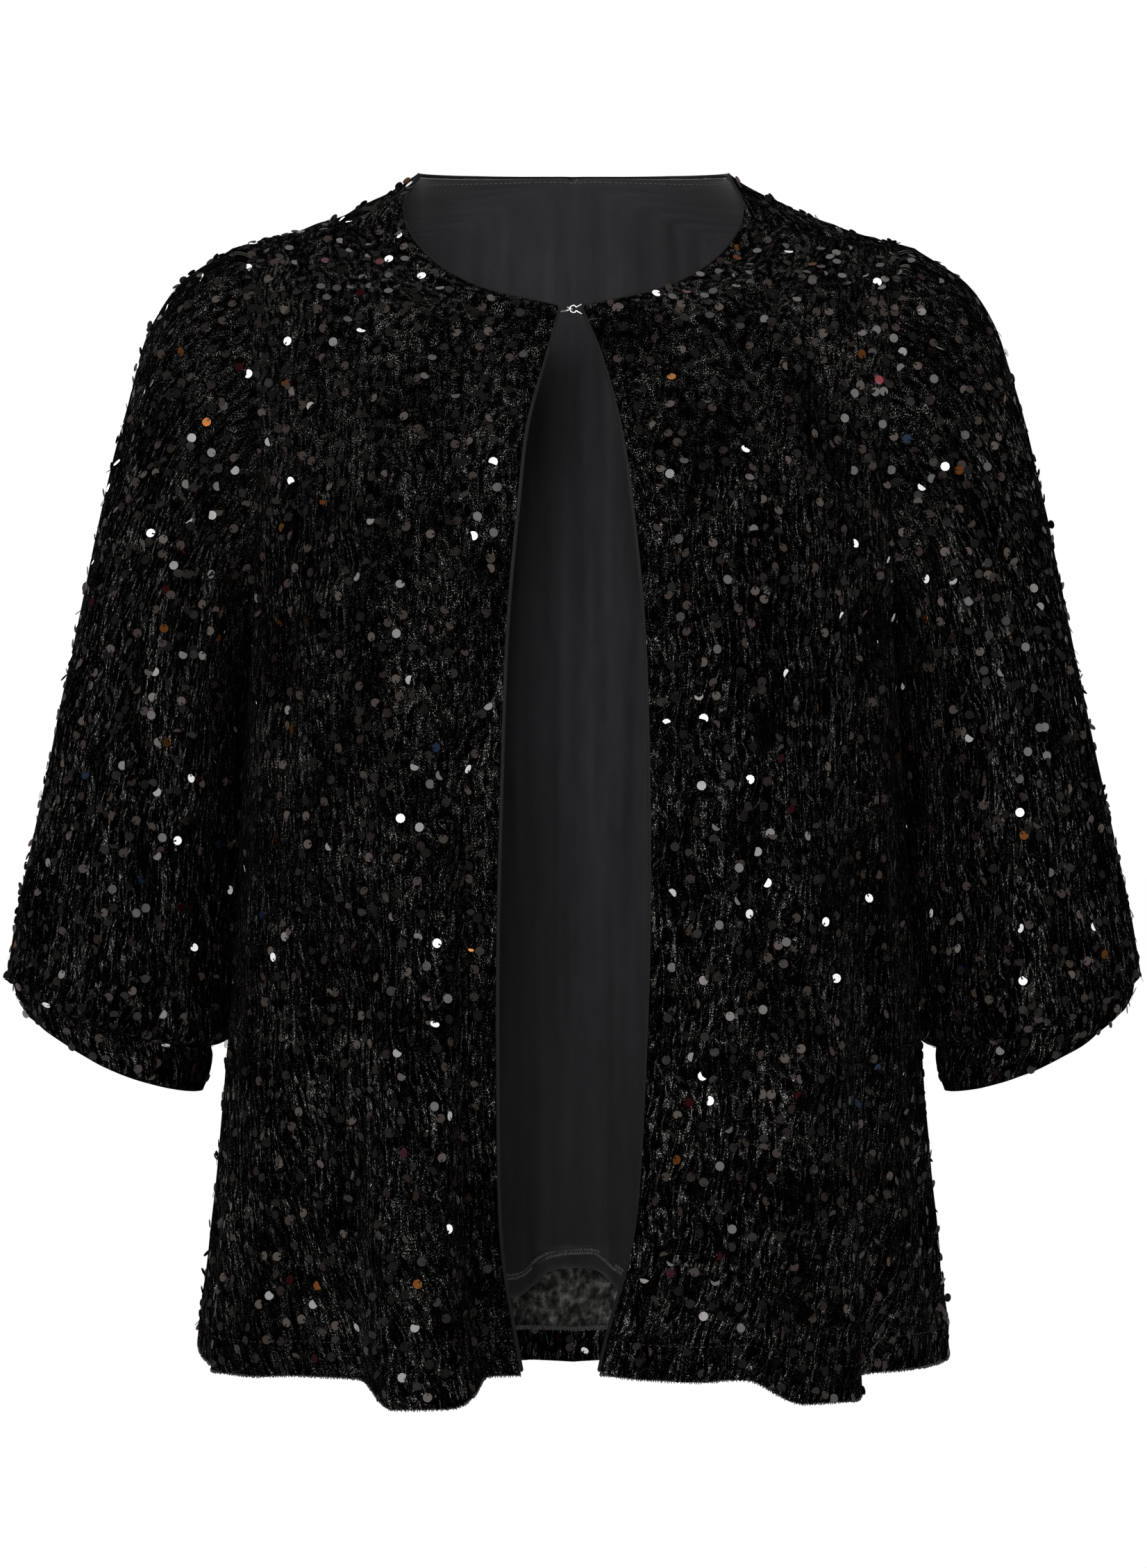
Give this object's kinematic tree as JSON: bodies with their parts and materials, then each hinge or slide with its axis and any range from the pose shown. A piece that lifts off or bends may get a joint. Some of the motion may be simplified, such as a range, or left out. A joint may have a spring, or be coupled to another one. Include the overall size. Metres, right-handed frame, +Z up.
{
  "type": "cardigan",
  "caption": "Open-front lined cardigan in crinkled velvet with sewn sequins, balloon sleeves on cuffs and a hook and eye at the neck, filled out as worn.",
  "frame": {"origin": "middle of the neck opening, level with the tops of the shoulders, where the wearer carries the garment", "axes": "+Z up, -Y out of the garment's front, +X to the left arm of the wearer, which is the viewer's right"},
  "size_m": [0.633, 0.3699, 0.6962],
  "materials": {
    "velvet": "crinkled black velvet with small sewn sequins",
    "lining": "matt charcoal jersey",
    "fastener": "bright bent wire"
  },
  "bodies": {
    "root": {"back": "velvet", "front_right": "velvet", "front_left": "velvet", "sleeve_right": "velvet", "sleeve_left": "velvet", "cuff_right": "velvet", "cuff_left": "velvet", "hem_back": "velvet", "lining_back": "lining", "edging_front_right": "lining", "edging_front_left": "lining", "edging_back_neck": "lining", "hook": "fastener", "eye": "fastener"}
  },
  "joints": []
}
